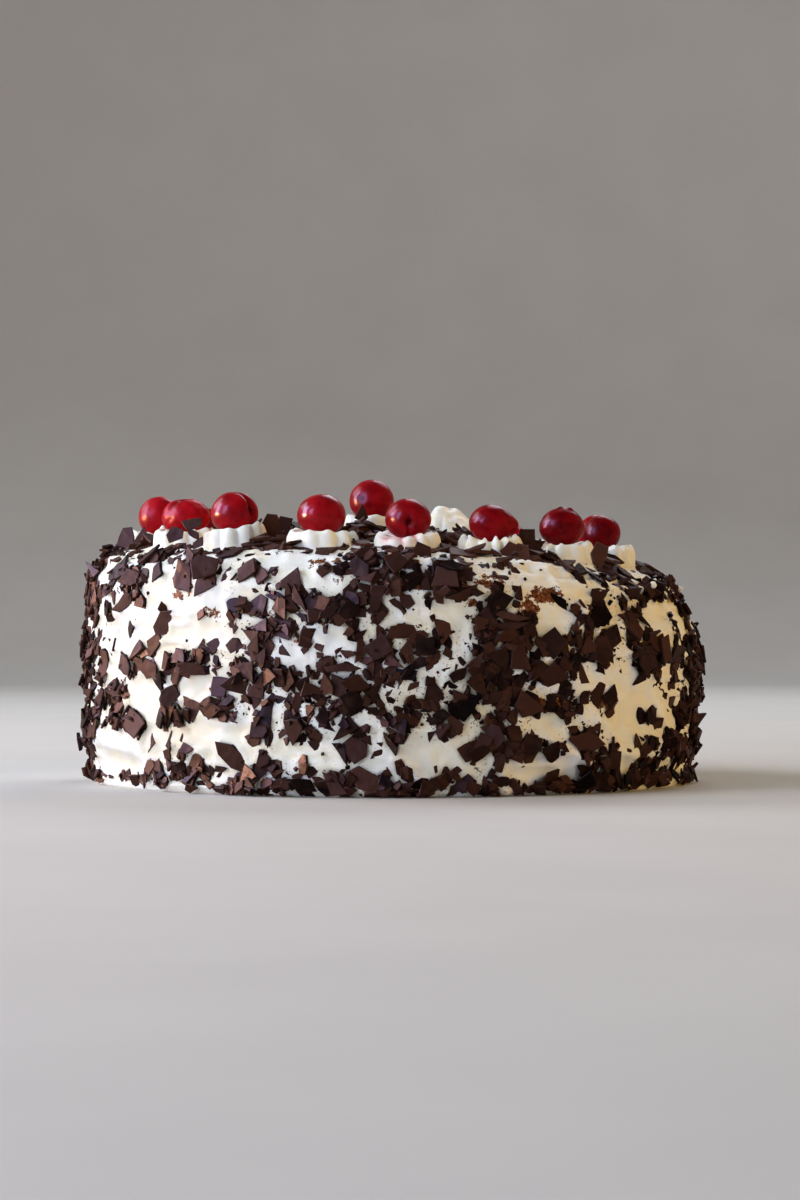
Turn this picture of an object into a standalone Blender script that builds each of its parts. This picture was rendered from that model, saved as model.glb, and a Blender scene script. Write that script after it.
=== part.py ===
"""A black forest cake: a round layer cake spread all over with whipped cream, a little lower on its right,
with a ring of piped cream rosettes on top, each holding a sour cherry, and two taller rosettes in the
middle, one with a cherry and one bare.

Metres, +Z up. The cake stands on z = 0 with its axis on the Z axis, and its front looks along -Y.
Run it with: blender --background --python part.py
"""

import math
import random
from collections import namedtuple

import bmesh
import bpy
from mathutils import Vector

# The coated cake
SIDE_RADIUS = 0.1355
SHOULDER_RADIUS = 0.120  # the top rounds over into the side from here outwards
SHOULDER_DROP = 0.015  # height of that rounding
RIM_HEIGHT = 0.098  # the top where the rounding starts
CROWN = 0.011  # how much higher the middle of the top is
LEAN_RIGHT = 0.36  # share of its height that the cake loses for each metre towards +X
LEAN_BACK = 0.14  # the same towards +Y
FOOT_ROUND = 0.003  # the cream's small rounding at the plate
COLUMNS = 64

# The ring of rosettes
RING_COUNT = 16
RING_RADIUS = 0.100
RING_CENTRE_X = -0.005
RING_START = math.radians(-82.7)  # the first rosette, measured from the front towards the right

# One rosette, as the nozzle leaves it
ROSETTE_WIDTH = 0.028
RIDGES = 9
RIDGE_DEPTH = 0.055  # a crest stands out by this share of the radius, and a groove goes in as much
LIP_HEIGHT = 0.0078
LIP_WAVE = 0.0013  # the lip rises this much at a crest and falls as much at a groove
SEAT_GAP = 0.0004  # between a rosette and the cake
CHERRY_GAP = 0.0005  # between a cherry and its dish

# One cherry
STONE_HOLE_DEPTH = 0.16  # share of the radius
STONE_HOLE_SPREAD = math.radians(26)

# How a cherry and its rosette sit: the way along the ring and outwards from their even place, the cherry's
# width and height, and how far its top is above the cream. All in metres.
Seat = namedtuple("Seat", "along out width height stand")
FRONT_SEATS = (
    Seat(0.0000, -0.0007, 0.0190, 0.0186, 0.0226),
    Seat(0.0013, -0.0022, 0.0211, 0.0166, 0.0202),
    Seat(-0.0003, 0.0003, 0.0204, 0.0188, 0.0227),
    Seat(0.0027, -0.0007, 0.0219, 0.0182, 0.0215),
    Seat(-0.0003, 0.0000, 0.0195, 0.0176, 0.0208),
    Seat(-0.0017, -0.0010, 0.0190, 0.0166, 0.0196),
    Seat(-0.0001, -0.0002, 0.0196, 0.0172, 0.0205),
    Seat(0.0006, 0.0020, 0.0167, 0.0160, 0.0195),
)
BACK_SEED = 11

# The middle of the top: where the two rosettes stand, and the cherry on the first
MIDDLE_PLACE = (-0.008, -0.020)
MIDDLE_SEAT = Seat(0.0, 0.0, 0.0212, 0.0188, 0.0253)
MIDDLE_LIP = 0.0112
BARE_PLACE = (0.0255, -0.006)
BARE_WIDTH = 0.030
BARE_HEIGHT = 0.0170


def clear_scene():
    """Removes what the file opened with."""
    for old in list(bpy.data.objects):
        bpy.data.objects.remove(old, do_unlink=True)


def principled(name, colour, roughness, subsurface):
    """A plain non-metal material."""
    made = bpy.data.materials.new(name)
    made.use_nodes = True
    shader = made.node_tree.nodes["Principled BSDF"]
    shader.inputs["Base Color"].default_value = (*colour, 1.0)
    shader.inputs["Roughness"].default_value = roughness
    shader.inputs["Metallic"].default_value = 0.0
    shader.inputs["Subsurface Weight"].default_value = subsurface
    made.diffuse_color = (*colour, 1.0)
    return made


def add_part(collection, name, mesh, material):
    """Puts a mesh into the cake's collection as one named sub-part, shaded smooth where it is round."""
    mesh.name = name
    mesh.shade_smooth()
    mesh.set_sharp_from_angle(angle=math.radians(50))
    made = bpy.data.objects.new(name, mesh)
    made.data.materials.append(material)
    collection.objects.link(made)
    return made


def leaning(x, y, z):
    """The height z after the cake's lean to the right and to the back."""
    return z * (1.0 - LEAN_RIGHT * x - LEAN_BACK * y)


def crown_height(radius):
    """The top before the lean: highest in the middle, falling with the square of the radius."""
    return RIM_HEIGHT + CROWN * (1.0 - (radius / SHOULDER_RADIUS) ** 2)


def top_height(x, y):
    return leaning(x, y, crown_height(math.hypot(x, y)))


def top_slope(x, y):
    """How steeply the top rises towards +X and towards +Y."""
    step = 0.001
    rise_x = top_height(x + step, y) - top_height(x - step, y)
    rise_y = top_height(x, y + step) - top_height(x, y - step)
    return rise_x / (2 * step), rise_y / (2 * step)


def cake_outline():
    """The turned outline as (radius, height), from the middle of the top down the side to the base."""
    inner = [SHOULDER_RADIUS * share for share in (0, 0.25, 0.5, 0.7, 0.86)]
    outline = [(radius, crown_height(radius)) for radius in inner]
    rounding = SIDE_RADIUS - SHOULDER_RADIUS
    for degrees in (0, 24, 46, 68, 90):
        turn = math.radians(degrees)
        outline.append(
            (
                SHOULDER_RADIUS + rounding * math.sin(turn),
                RIM_HEIGHT - SHOULDER_DROP * (1.0 - math.cos(turn)),
            )
        )
    outline.append((SIDE_RADIUS, RIM_HEIGHT * 0.42))
    outline.append((SIDE_RADIUS, FOOT_ROUND))
    outline.append((SIDE_RADIUS - FOOT_ROUND, 0.0))
    outline.append((0.0, 0.0))
    return outline


def make_cake_body(collection, material):
    """Turns the outline round the Z axis, then leans the result."""
    outline = cake_outline()
    mesh = bpy.data.meshes.new("outline")
    points = [(radius, 0.0, height) for radius, height in outline]
    mesh.from_pydata(points, [(i, i + 1) for i in range(len(points) - 1)], [])
    turned = bpy.data.objects.new("outline", mesh)
    collection.objects.link(turned)
    screw = turned.modifiers.new("Turn", "SCREW")
    screw.steps = COLUMNS
    screw.render_steps = COLUMNS
    screw.use_merge_vertices = True
    screw.merge_threshold = 0.0001
    graph = bpy.context.evaluated_depsgraph_get()
    solid = bpy.data.meshes.new_from_object(turned.evaluated_get(graph))
    bpy.data.objects.remove(turned, do_unlink=True)
    bpy.data.meshes.remove(mesh)
    for vertex in solid.vertices:
        vertex.co.z = leaning(*vertex.co)
    return add_part(collection, "cake_body", solid, material)


def wrapped_sphere(columns, rows, place):
    """A sphere of that many columns and rows whose points are moved to place(turn, row): turn is the angle
    round the axis from the sphere's first column, which is on +Y, and row counts from the lowest point, 0,
    to the highest, rows."""
    made = bmesh.new()
    bmesh.ops.create_uvsphere(made, u_segments=columns, v_segments=rows, radius=1.0)
    for vertex in made.verts:
        turn = math.atan2(vertex.co.y, vertex.co.x) - math.pi / 2
        row = round(math.acos(max(-1.0, min(1.0, -vertex.co.z))) / math.pi * rows)
        vertex.co = place(turn, row)
    mesh = bpy.data.meshes.new("wrapped")
    made.to_mesh(mesh)
    made.free()
    return mesh


def ridged(turn, spin, radius, height):
    """A point on a ridged ring: crests and grooves follow one cosine round the axis, turned by spin."""
    radius = radius * (1.0 + RIDGE_DEPTH * math.cos(RIDGES * turn))
    return Vector((radius * math.cos(turn + spin), radius * math.sin(turn + spin), height))


def rosette_side(half_width, lip):
    """The outer rings as (radius, height): a foot, a bulge just above it, and a narrower waist."""
    return ((0.0, 0.0), (0.93 * half_width, 0.0), (half_width, 0.28 * lip), (0.96 * half_width, 0.62 * lip))


def settled(point, row, slope):
    """Rows 0 and 1 lie along the cake's slope, and each row above follows it less, so that the top is level."""
    follow = (1.0, 1.0, 0.6, 0.25)[row] if row < 4 else 0.0
    point.z += follow * (slope[0] * point.x + slope[1] * point.y)
    return point


def rosette_mesh(width, lip, seat, spin, slope):
    """A star-nozzle rosette: a ridged side up to a wavy lip, then a dish one gap larger than the cherry."""
    side = rosette_side(width / 2, lip)
    centre = seat.stand - seat.height / 2
    across = seat.width / 2 + CHERRY_GAP
    down = seat.height / 2 + CHERRY_GAP
    dish = [math.radians(degrees) for degrees in (50, 34, 17, 0)]

    def place(turn, row):
        if row < len(side):
            return settled(ridged(turn, spin, *side[row]), row, slope)
        if row == len(side):
            return ridged(turn, spin, 0.84 * width / 2, lip + LIP_WAVE * math.cos(RIDGES * turn))
        angle = dish[row - len(side) - 1]
        radius = across * math.sin(angle)
        height = centre - down * math.cos(angle)
        return Vector((radius * math.cos(turn + spin), radius * math.sin(turn + spin), height))

    return wrapped_sphere(2 * RIDGES, len(side) + len(dish), place)


def bare_rosette_mesh(width, height, slope):
    """The same nozzle lifted away with no cherry: the ridged side closes to a soft peak off its middle."""
    side = rosette_side(width / 2, 0.62 * height)
    cap = ((0.82, 0.66), (0.58, 0.80), (0.34, 0.92), (0.14, 0.98), (0.0, 1.0))
    peak = Vector((-0.10 * width, 0.0, 0.0))

    def place(turn, row):
        if row < len(side):
            return settled(ridged(turn, 0.0, *side[row]), row, slope)
        share, rise = cap[row - len(side)]
        return ridged(turn, 0.0, share * width / 2, rise * height) + peak * (1.0 - share)

    return wrapped_sphere(2 * RIDGES, len(side) + len(cap) - 1, place)


def cherry_mesh(seat, hole_turn, hole_rise):
    """A flattened ball, pushed in at its stone hole by a bell curve of the angle from the hole's middle."""
    columns, rows = 14, 8
    hole = Vector(
        (
            math.cos(hole_turn) * math.cos(hole_rise),
            math.sin(hole_turn) * math.cos(hole_rise),
            math.sin(hole_rise),
        )
    )

    def place(turn, row):
        polar = math.pi * row / rows
        out = Vector((math.sin(polar) * math.cos(turn), math.sin(polar) * math.sin(turn), -math.cos(polar)))
        away = out.angle(hole) / STONE_HOLE_SPREAD
        out *= 1.0 - STONE_HOLE_DEPTH * math.exp(-away * away)
        return Vector((out.x * seat.width / 2, out.y * seat.width / 2, out.z * seat.height / 2))

    return wrapped_sphere(columns, rows, place)


def stand_on_top(made, x, y, lift):
    """Stands a piece upright over the cake's top at (x, y), lifted by that much."""
    made.location = (x, y, top_height(x, y) + lift)


def back_seats(draw, count):
    """Seats for the rosettes behind the front ones, as uneven as those."""
    seats = []
    for _ in range(count):
        width = draw.uniform(0.0185, 0.0215)
        height = width * draw.uniform(0.86, 0.94)
        stand = height + draw.uniform(0.0028, 0.0036)
        seats.append(Seat(draw.uniform(-0.0018, 0.0018), draw.uniform(-0.0016, 0.0016), width, height, stand))
    return seats


def add_topping(collection, label, place, seat, lip, draw, cream, skin):
    """One rosette with its cherry."""
    spin = draw.uniform(0.0, math.tau)
    rosette_shape = rosette_mesh(ROSETTE_WIDTH, lip, seat, spin, top_slope(*place))
    rosette = add_part(collection, "rosette_" + label, rosette_shape, cream)
    stand_on_top(rosette, *place, SEAT_GAP)
    cherry_shape = cherry_mesh(seat, draw.uniform(0.0, math.tau), draw.uniform(-0.1, 0.9))
    cherry = add_part(collection, "cherry_" + label, cherry_shape, skin)
    stand_on_top(cherry, *place, SEAT_GAP + seat.stand - seat.height / 2)


def main():
    clear_scene()
    collection = bpy.data.collections.new("black_forest_cake")
    bpy.context.scene.collection.children.link(collection)
    coat = principled("spread_cream", (0.86, 0.82, 0.72), 0.55, 0.2)
    piped = principled("piped_cream", (0.90, 0.88, 0.80), 0.5, 0.2)
    skin = principled("sour_cherry_skin", (0.28, 0.008, 0.015), 0.12, 0.1)
    make_cake_body(collection, coat)
    draw = random.Random(BACK_SEED)
    seats = list(FRONT_SEATS) + back_seats(draw, RING_COUNT - len(FRONT_SEATS))
    for number, seat in enumerate(seats):
        angle = RING_START + math.tau * number / RING_COUNT + seat.along / RING_RADIUS
        radius = RING_RADIUS + seat.out
        place = (RING_CENTRE_X + radius * math.sin(angle), -radius * math.cos(angle))
        add_topping(collection, f"{number + 1:02d}", place, seat, LIP_HEIGHT, draw, piped, skin)
    add_topping(collection, "middle", MIDDLE_PLACE, MIDDLE_SEAT, MIDDLE_LIP, draw, piped, skin)
    bare_shape = bare_rosette_mesh(BARE_WIDTH, BARE_HEIGHT, top_slope(*BARE_PLACE))
    bare = add_part(collection, "rosette_bare", bare_shape, piped)
    stand_on_top(bare, *BARE_PLACE, SEAT_GAP)


main()
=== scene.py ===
"""The looks of a black forest cake: whipped cream spread with a spatula, piped rosettes, sour cherries,
flakes and crumbs of dark chocolate, and sponge where the cream is torn, on a plain pale floor in soft light.

Metres, +Z up, as in the frame. The front looks along -Y. Angles round the cake are measured from the front
towards the right.
"""

import math

import bpy
import numpy as np
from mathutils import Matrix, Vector


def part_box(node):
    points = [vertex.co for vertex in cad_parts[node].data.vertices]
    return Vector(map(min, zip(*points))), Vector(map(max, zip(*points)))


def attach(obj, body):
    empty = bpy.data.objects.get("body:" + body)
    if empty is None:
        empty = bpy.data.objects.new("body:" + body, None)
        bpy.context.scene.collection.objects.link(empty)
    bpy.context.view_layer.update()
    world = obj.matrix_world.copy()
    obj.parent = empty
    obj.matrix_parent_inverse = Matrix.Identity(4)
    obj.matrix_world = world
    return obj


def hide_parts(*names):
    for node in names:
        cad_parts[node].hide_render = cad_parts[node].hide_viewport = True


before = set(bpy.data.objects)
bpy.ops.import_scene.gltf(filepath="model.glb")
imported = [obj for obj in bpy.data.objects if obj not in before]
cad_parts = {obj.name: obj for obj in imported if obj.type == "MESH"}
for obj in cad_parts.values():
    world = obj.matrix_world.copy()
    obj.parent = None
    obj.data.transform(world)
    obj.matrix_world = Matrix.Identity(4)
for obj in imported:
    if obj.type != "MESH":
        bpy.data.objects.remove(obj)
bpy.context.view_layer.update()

MM = 0.001
TURN = 2 * math.pi

# The coated cake, with the shape that its CAD solid has
body_low, body_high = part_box("cake_body")
SIDE_RADIUS = (body_high.x - body_low.x) / 2
SHOULDER_RADIUS = SIDE_RADIUS - 15.5 * MM
SHOULDER_DROP = 15 * MM
RIM_HEIGHT = 98 * MM
CROWN = 11 * MM
FOOT_ROUND = 3 * MM
LEAN_RIGHT = 0.36  # share of its height that the cake loses for each metre towards +X
LEAN_BACK = 0.14  # the same towards +Y
AROUND = TURN * SIDE_RADIUS
SHOULDER_UP = 107 * MM  # how far up the side, over the shoulder, the top begins
TOP_STEPS, SHOULDER_STEPS, SIDE_STEPS, BASE_POINTS = 120, 40, 60, 41  # of the outline
FOOT = TOP_STEPS + SHOULDER_STEPS + SIDE_STEPS  # the outline's last point on the straight side

# Cream
COAT_COLUMNS = 720
TOP_ROWS = 37
SIDE_ROW = 1.2 * MM
LIP_RISE = 1.65 * MM  # cream pushed up round a flake
LIP_WIDTH = 1.5 * MM
ROSETTE_ROWS, ROSETTE_COLUMNS, ROSETTE_RIDGES = 60, 168, 12
LIP_KNOT = 7.3  # where along its outline a rosette's lip is highest
INSIDE_JUICE = 0.4  # how stained a rosette is where its cherry lies
DOLLOP_PEAK = 5 * MM  # how far the bare dollop's peak stands above its heap
SHOULDER_EASE = 1.8 * MM  # how much rounder the cream's shoulder is than its solid's
MORE_ON_RIGHT, MORE_ON_LEFT = 5.6 * MM, 0.8 * MM
FOLD_UP = 91 * MM  # how far up the side the top's cream folds over it
CREAM_REACH = (1.0, 0.88, 0.45)  # how far red, green and blue light go in cream, as shares

# Cherries
CHERRY_ROWS, CHERRY_COLUMNS = 58, 92
HOLE_WIDTH, HOLE_DEPTH = 0.23, 0.17  # of the stone's hole, in radians and as a share of the radius

# Chocolate
SIDE_THROWS, FOOT_THROWS, TOP_THROWS = 10000, 330, 5200  # chips tried, not all of which find a place
MOST_SHUT = 0.12  # share of a chip that may lie under a rosette
STEEPEST_BED, BED_FOLLOWED = 0.55, 0.8  # slope under a chip, and the share of it that the chip takes on
FLAKE_CORNERS = 7
FLAKE_THICK = (0.8 * MM, 1.5 * MM)
CELL = 0.5 * MM  # of the height grids that the flakes come to rest on

# Where the side's cream shows bare: angle in degrees, then height up the side and half sizes in mm
BARE_PATCHES = (
    (-16, 96, 21, 4), (-35, 73, 14, 9), (-55, 67, 17, 11), (-50, 40, 13, 8), (-38, 41, 10, 6),
    (-32, 25, 12, 6), (-16, 55, 11, 4), (-15, 17, 16, 3), (-59, 15, 30, 10), (-2, 15, 7, 5),
    (29, 75, 8, 12), (30, 95, 15, 6), (42, 49, 9, 5), (50, 41, 15, 8), (29, 30, 6, 5), (47, 28, 12, 7),
    (8, 16, 18, 4), (28, 11, 14, 6), (47, 17, 8, 4), (59, 75, 9, 8), (71, 79, 9, 11), (83, 90, 15, 6),
    (-9, 85, 5, 4), (33, 13, 7, 4), (47, 11, 5, 4), (33, 89, 10, 6), (28, 84, 10, 6), (-36, 62, 7, 5),
    (-10, 63, 9, 3), (-15, 88, 9, 4), (-26, 83, 5, 5), (-60, 50, 8, 7), (-43, 62, 9, 5),
    (-29, 63, 6, 4), (-47, 21, 9, 5), (38, 86, 9, 4), (-30, 44, 5, 4),
)

# Where the flakes lie thickest, given the same way
THICK_PATCHES = (
    (-57, 87, 13, 6), (-36, 89, 9, 8), (-37, 55, 18, 6), (-26, 51, 7, 5), (-22, 60, 6, 7),
    (-41, 34, 9, 7), (-57, 26, 15, 8), (-30, 35, 9, 5), (-20, 41, 10, 4), (-15, 31, 10, 9),
    (-8, 41, 11, 8), (-13, 74, 28, 12), (-10, 74, 12, 9), (-40, 9, 20, 4), (-20, 12, 11, 7),
    (20, 5, 90, 3), (20, 69, 14, 17), (6, 62, 14, 7), (9, 86, 15, 6), (13, 34, 10, 7), (33, 62, 11, 14),
    (40, 62, 13, 8), (52, 66, 15, 16), (23, 33, 7, 8), (15, 16, 5, 6), (22, 21, 11, 6), (36, 17, 6, 5),
    (74, 55, 14, 40), (-76, 55, 14, 42), (-6, 36, 14, 8), (7, 37, 14, 8), (21, 37, 15, 9),
    (21, 23, 14, 7), (-19, 9, 16, 5), (-5, 7, 14, 4), (62, 90, 12, 8), (-60, 86, 14, 6), (2, 88, 12, 7),
    (-7, 38, 13, 6), (-19, 12, 15, 6), (-54, 81, 12, 8), (53, 82, 10, 9), (17, 58, 12, 10),
    (-9, 39, 15, 12), (33, 38, 5, 7), (54, 38, 5, 8), (45, 42, 6, 4), (17, 38, 16, 12), (47, 34, 5, 4),
    (2, 37, 12, 9), (21, 60, 14, 9), (-9, 32, 14, 5), (-58, 40, 12, 4), (-24, 9, 10, 5),
    (19, 44, 10, 8), (50, 33, 5, 4), (-62, 74, 5, 6), (-23, 25, 5, 5), (24, 48, 6, 5),
)

# Where the spatula tore the cream and sponge shows through, given the same way, then how strongly
SPONGE_PATCHES = (
    (29, 84, 8, 4, 1.0), (25, 78, 5, 4, 0.9), (12, 92, 3, 2, 0.9), (14, 79, 3, 2, 0.9),
    (29, 38, 13, 3, 1.0), (42, 38, 7, 3, 0.9), (9, 94, 9, 3, 0.55), (18, 88, 6, 4, 0.8),
    (5, 87, 8, 4, 0.5), (-12, 95, 10, 3, 0.6), (-40, 80, 6, 3, 0.6), (-33, 72, 4, 3, 0.7),
    (-9, 87, 3, 3, 0.6), (120, 60, 9, 3, 0.7), (165, 85, 7, 3, 0.8), (-140, 40, 10, 2, 0.8),
    (-105, 78, 6, 4, 0.5),
)
JUICE_PATCHES = ((-60, 67, 3, 4, 0.5), (0.5, 104, 9, 4, 0.8), (140, 70, 4, 4, 0.4))

# The chips on the side that catch the eye: angle, height up the side, length, width, turn of the length up
# from the horizontal, and corners, in degrees and mm
CHOSEN_CHIPS = (
    (-59, 89, 15, 8, 5, 4), (-57, 77, 14, 10, 5, 4), (-55, 51, 12, 10, 100, 4),
    (-54, 65, 12, 9, 100, 3), (-54, 86, 12, 8, 10, 5), (-52, 27, 13, 9, -30, 4),
    (-47, 49, 11, 8, 120, 4), (-47, 60, 12, 7, 50, 4), (-47, 89, 10, 9, 85, 4), (-45, 29, 12, 9, 30, 4),
    (-44, 68, 14, 9, 50, 5), (-42, 39, 11, 9, 75, 5), (-40, 87, 16, 10, 105, 5),
    (-39, 55, 9, 6, -35, 4), (-36, 50, 14, 5, -10, 5), (-35, 73, 8, 5, 90, 4), (-34, 89, 14, 12, 55, 5),
    (-32, 34, 11, 7, 15, 4), (-32, 59, 7, 6, 25, 4), (-31, 43, 9, 8, 80, 4), (-29, 16, 18, 8, -45, 6),
    (-25, 51, 12, 8, -30, 3), (-24, 59, 13, 6, 85, 4), (-23, 26, 8, 7, 0, 5), (-21, 48, 10, 7, 20, 4),
    (-19, 75, 11, 7, 100, 4), (-17, 27, 12, 9, 60, 4), (-11, 44, 10, 9, 50, 4), (-8, 52, 16, 4, 5, 5),
    (-7, 75, 10, 8, 20, 5), (-6, 19, 12, 11, 100, 5), (-6, 46, 14, 7, 10, 4), (-4, 88, 9, 7, 50, 3),
    (-2, 60, 12, 9, 20, 4), (2, 67, 14, 5, 5, 4), (4, 87, 10, 8, 20, 4), (6, 61, 11, 10, 45, 4),
    (9, 67, 12, 7, 95, 4), (12, 83, 15, 7, 5, 3), (13, 36, 15, 10, 15, 4), (15, 18, 11, 7, 15, 4),
    (15, 46, 10, 8, -50, 4), (19, 56, 10, 9, -60, 4), (22, 57, 12, 9, 100, 4), (19, 80, 12, 10, 40, 4),
    (24, 20, 14, 9, 40, 4), (24, 39, 13, 11, -60, 4), (29, 19, 12, 8, -40, 4), (29, 51, 14, 11, 10, 5),
    (29, 64, 11, 10, 55, 4), (36, 22, 18, 10, -5, 4), (36, 62, 10, 8, 25, 4), (39, 41, 15, 9, 85, 4),
    (40, 61, 14, 7, 115, 4), (40, 77, 13, 13, 75, 5), (43, 14, 9, 9, 75, 4), (43, 67, 12, 9, 30, 4),
    (51, 57, 14, 13, 75, 5), (57, 62, 13, 9, 85, 4), (63, 60, 12, 12, 50, 4), (20, 66, 18, 5, 10, 4),
    (21, 70, 17, 4, 5, 4), (21, 74, 16, 4, -5, 4),
)

# Chips that stand or lean on the top and against rosettes: x, y and height of the middle, length, width, turn
# of the length up from the horizontal, heading of the face from the front to the right, and how far the face
# looks up, in mm and degrees
STANDING_CHIPS = (
    (-51, -70, 111, 14, 11, 80, 0, 10), (-84, -88, 113, 9, 5, 15, -10, 25),
    (-91, -90, 108, 8, 7, 60, -15, 15), (-14, -37, 119, 8, 6, 110, 10, 10),
    (88, -86, 100, 11, 8, 80, 20, 12), (13, -118, 99, 12, 8, 85, 5, 25),
    (50, -100, 102, 9, 7, 30, 10, 20), (-83, -95, 109, 8, 3, -35, -10, 10),
    (28, -70, 108, 9, 6, 10, 0, 40), (-10, -55, 111, 13, 9, 5, 5, 62),
    (-11, -68, 107, 12, 9, -8, -10, 60), (-8, -85, 104, 13, 9, 10, 0, 58),
    (-10, -98, 101, 14, 9, -5, 10, 64), (-45, -94, 106, 10, 7, 15, 0, 50),
    (-26, -104, 102, 9, 6, -15, 0, 45), (-46, -50, 114, 8, 7, 60, 0, 10),
    (57, -82, 106, 12, 8, 80, 0, 12), (62, -76, 104, 9, 6, 30, 10, 20),
    (59, -90, 102, 9, 6, 10, 10, 40), (-116, -26, 108, 12, 8, 65, -20, 15),
    (-110, -29, 108, 10, 8, 110, -10, 20), (-120, -22, 104, 10, 7, 30, -30, 25),
    (-104, -31, 106, 10, 7, 15, -5, 25), (-98, -30, 107, 9, 6, 70, 0, 20),
)


def smooth_step(value):
    """Rises from 0 to 1 as the value does, level at both ends: 3v^2 - 2v^3."""
    held = np.clip(value, 0.0, 1.0)
    return held * held * (3.0 - 2.0 * held)


def bell(value, width):
    """A bell curve: 1 at 0, and 1/e at the width."""
    return np.exp(-((value / width) ** 2))


def soft_noise(across, up, cell_across, cell_up, seed, around=None):
    """Rolling heights from -1 to 1: random values on a lattice with cells of that size, joined by smooth
    steps. With around, the lattice closes on itself after that distance."""
    columns, rows = 61, 83
    if around is not None:
        columns = max(3, round(around / cell_across))
        cell_across = around / columns
    lattice = np.random.default_rng(seed).uniform(-1.0, 1.0, (columns, rows))
    column = np.floor(across / cell_across).astype(int)
    row = np.floor(up / cell_up).astype(int)
    share = smooth_step(across / cell_across - column)
    rise = smooth_step(up / cell_up - row)
    near, far = column % columns, (column + 1) % columns
    low, high = row % rows, (row + 1) % rows
    lower = lattice[near, low] * (1 - share) + lattice[far, low] * share
    upper = lattice[near, high] * (1 - share) + lattice[far, high] * share
    return lower * (1 - rise) + upper * rise


def wobble(points, size, seed):
    """A smooth random height from about -1 to 1 anywhere in space: a mean of cosine waves of that length
    that run in random directions."""
    draw = np.random.default_rng(seed)
    waves, gain = 7, 1.8
    ways = draw.normal(size=(waves, 3))
    ways *= (TURN / size) / np.linalg.norm(ways, axis=1, keepdims=True)
    starts = draw.uniform(0, TURN, waves)
    return np.cos(points @ ways.T + starts).mean(axis=-1) * gain


def patch_share(across, up, patch):
    """How far each place is from the patch's middle, as a share of its half sizes: 1 on its edge."""
    angle, height, half_across, half_up = patch[:4]
    away = across - math.radians(angle) * SIDE_RADIUS
    away = (away + AROUND / 2) % AROUND - AROUND / 2
    return np.hypot(away / (half_across * MM), (up - height * MM) / (half_up * MM))


def cake_outline():
    """The cream's outline from the middle of the top to the middle of the base, as radius, height and the way
    along it. The top is a parabola, the shoulder a quarter ellipse, the side straight, the foot a bevel."""
    flat = np.linspace(0.0, SHOULDER_RADIUS, TOP_STEPS + 1)
    turn = np.linspace(0.0, math.pi / 2, SHOULDER_STEPS + 1)[1:]
    down = np.linspace(RIM_HEIGHT - SHOULDER_DROP, FOOT_ROUND, SIDE_STEPS + 1)[1:]
    under = np.linspace(SIDE_RADIUS - FOOT_ROUND, 0.0, BASE_POINTS)
    rounding = SHOULDER_RADIUS + (SIDE_RADIUS - SHOULDER_RADIUS) * np.sin(turn)
    radius = np.concatenate([flat, rounding, np.full(down.size, SIDE_RADIUS), under])
    crown = RIM_HEIGHT + CROWN * (1.0 - (flat / SHOULDER_RADIUS) ** 2)
    shoulder = RIM_HEIGHT - SHOULDER_DROP * (1.0 - np.cos(turn))
    height = np.concatenate([crown, shoulder, down, np.zeros(under.size)])
    way = np.concatenate([[0.0], np.cumsum(np.hypot(np.diff(radius), np.diff(height)))])
    return radius, height, way


LINE_RADIUS, LINE_HEIGHT, LINE_WAY = cake_outline()
LINE_OUT = -np.gradient(LINE_HEIGHT, LINE_WAY)
LINE_RISE = np.gradient(LINE_RADIUS, LINE_WAY)
FLOOR_WAY = LINE_WAY[FOOT] + FOOT_ROUND  # where the side would meet the plate with no rounding
RIM_WAY = LINE_WAY[TOP_STEPS]


def on_cream(angle, way, out=0.0):
    """A point of the cream: the outline at that way, pushed out square to it, turned round and leaned."""
    radius = np.interp(way, LINE_WAY, LINE_RADIUS) + out * np.interp(way, LINE_WAY, LINE_OUT)
    height = np.interp(way, LINE_WAY, LINE_HEIGHT) + out * np.interp(way, LINE_WAY, LINE_RISE)
    x = radius * np.sin(angle)
    y = -radius * np.cos(angle)
    return np.stack([x, y, height * (1.0 - LEAN_RIGHT * x - LEAN_BACK * y)], axis=-1)


def way_on_top(x, y):
    """The way along the outline at which (x, y) lies on the top."""
    return np.interp(np.hypot(x, y), LINE_RADIUS[: TOP_STEPS + 1], LINE_WAY[: TOP_STEPS + 1])


def top_height(x, y):
    """The top's height at (x, y), without its relief."""
    return on_cream(np.arctan2(x, -y), way_on_top(x, y))[..., 2]


def shoulder_ease(angle, up):
    """How far in the shoulder's cream lies from its solid: a bell curve of the height up the side, deepest on
    the right, where a second one eases the side below it too."""
    right = smooth_step((np.sin(angle) - 0.25) / 0.6)
    left = smooth_step((-np.sin(angle) - 0.25) / 0.6)
    depth = SHOULDER_EASE + MORE_ON_RIGHT * right + MORE_ON_LEFT * left
    shoulder = depth * bell(up - 97 * MM, (14 + 3 * right) * MM)
    return shoulder + 3 * MM * right * bell(up - 81 * MM, 9 * MM)


def foot_ease(angle, up):
    """How far in the foot's cream lies: none 20 mm up, then more towards the plate, most on the right."""
    side = np.sin(angle)
    depth = 1.0 + 3.6 * smooth_step((side - 0.3) / 0.6) + 2.2 * smooth_step((-side - 0.3) / 0.6)
    return depth * MM * smooth_step((20 * MM - up) / (12 * MM))


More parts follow.
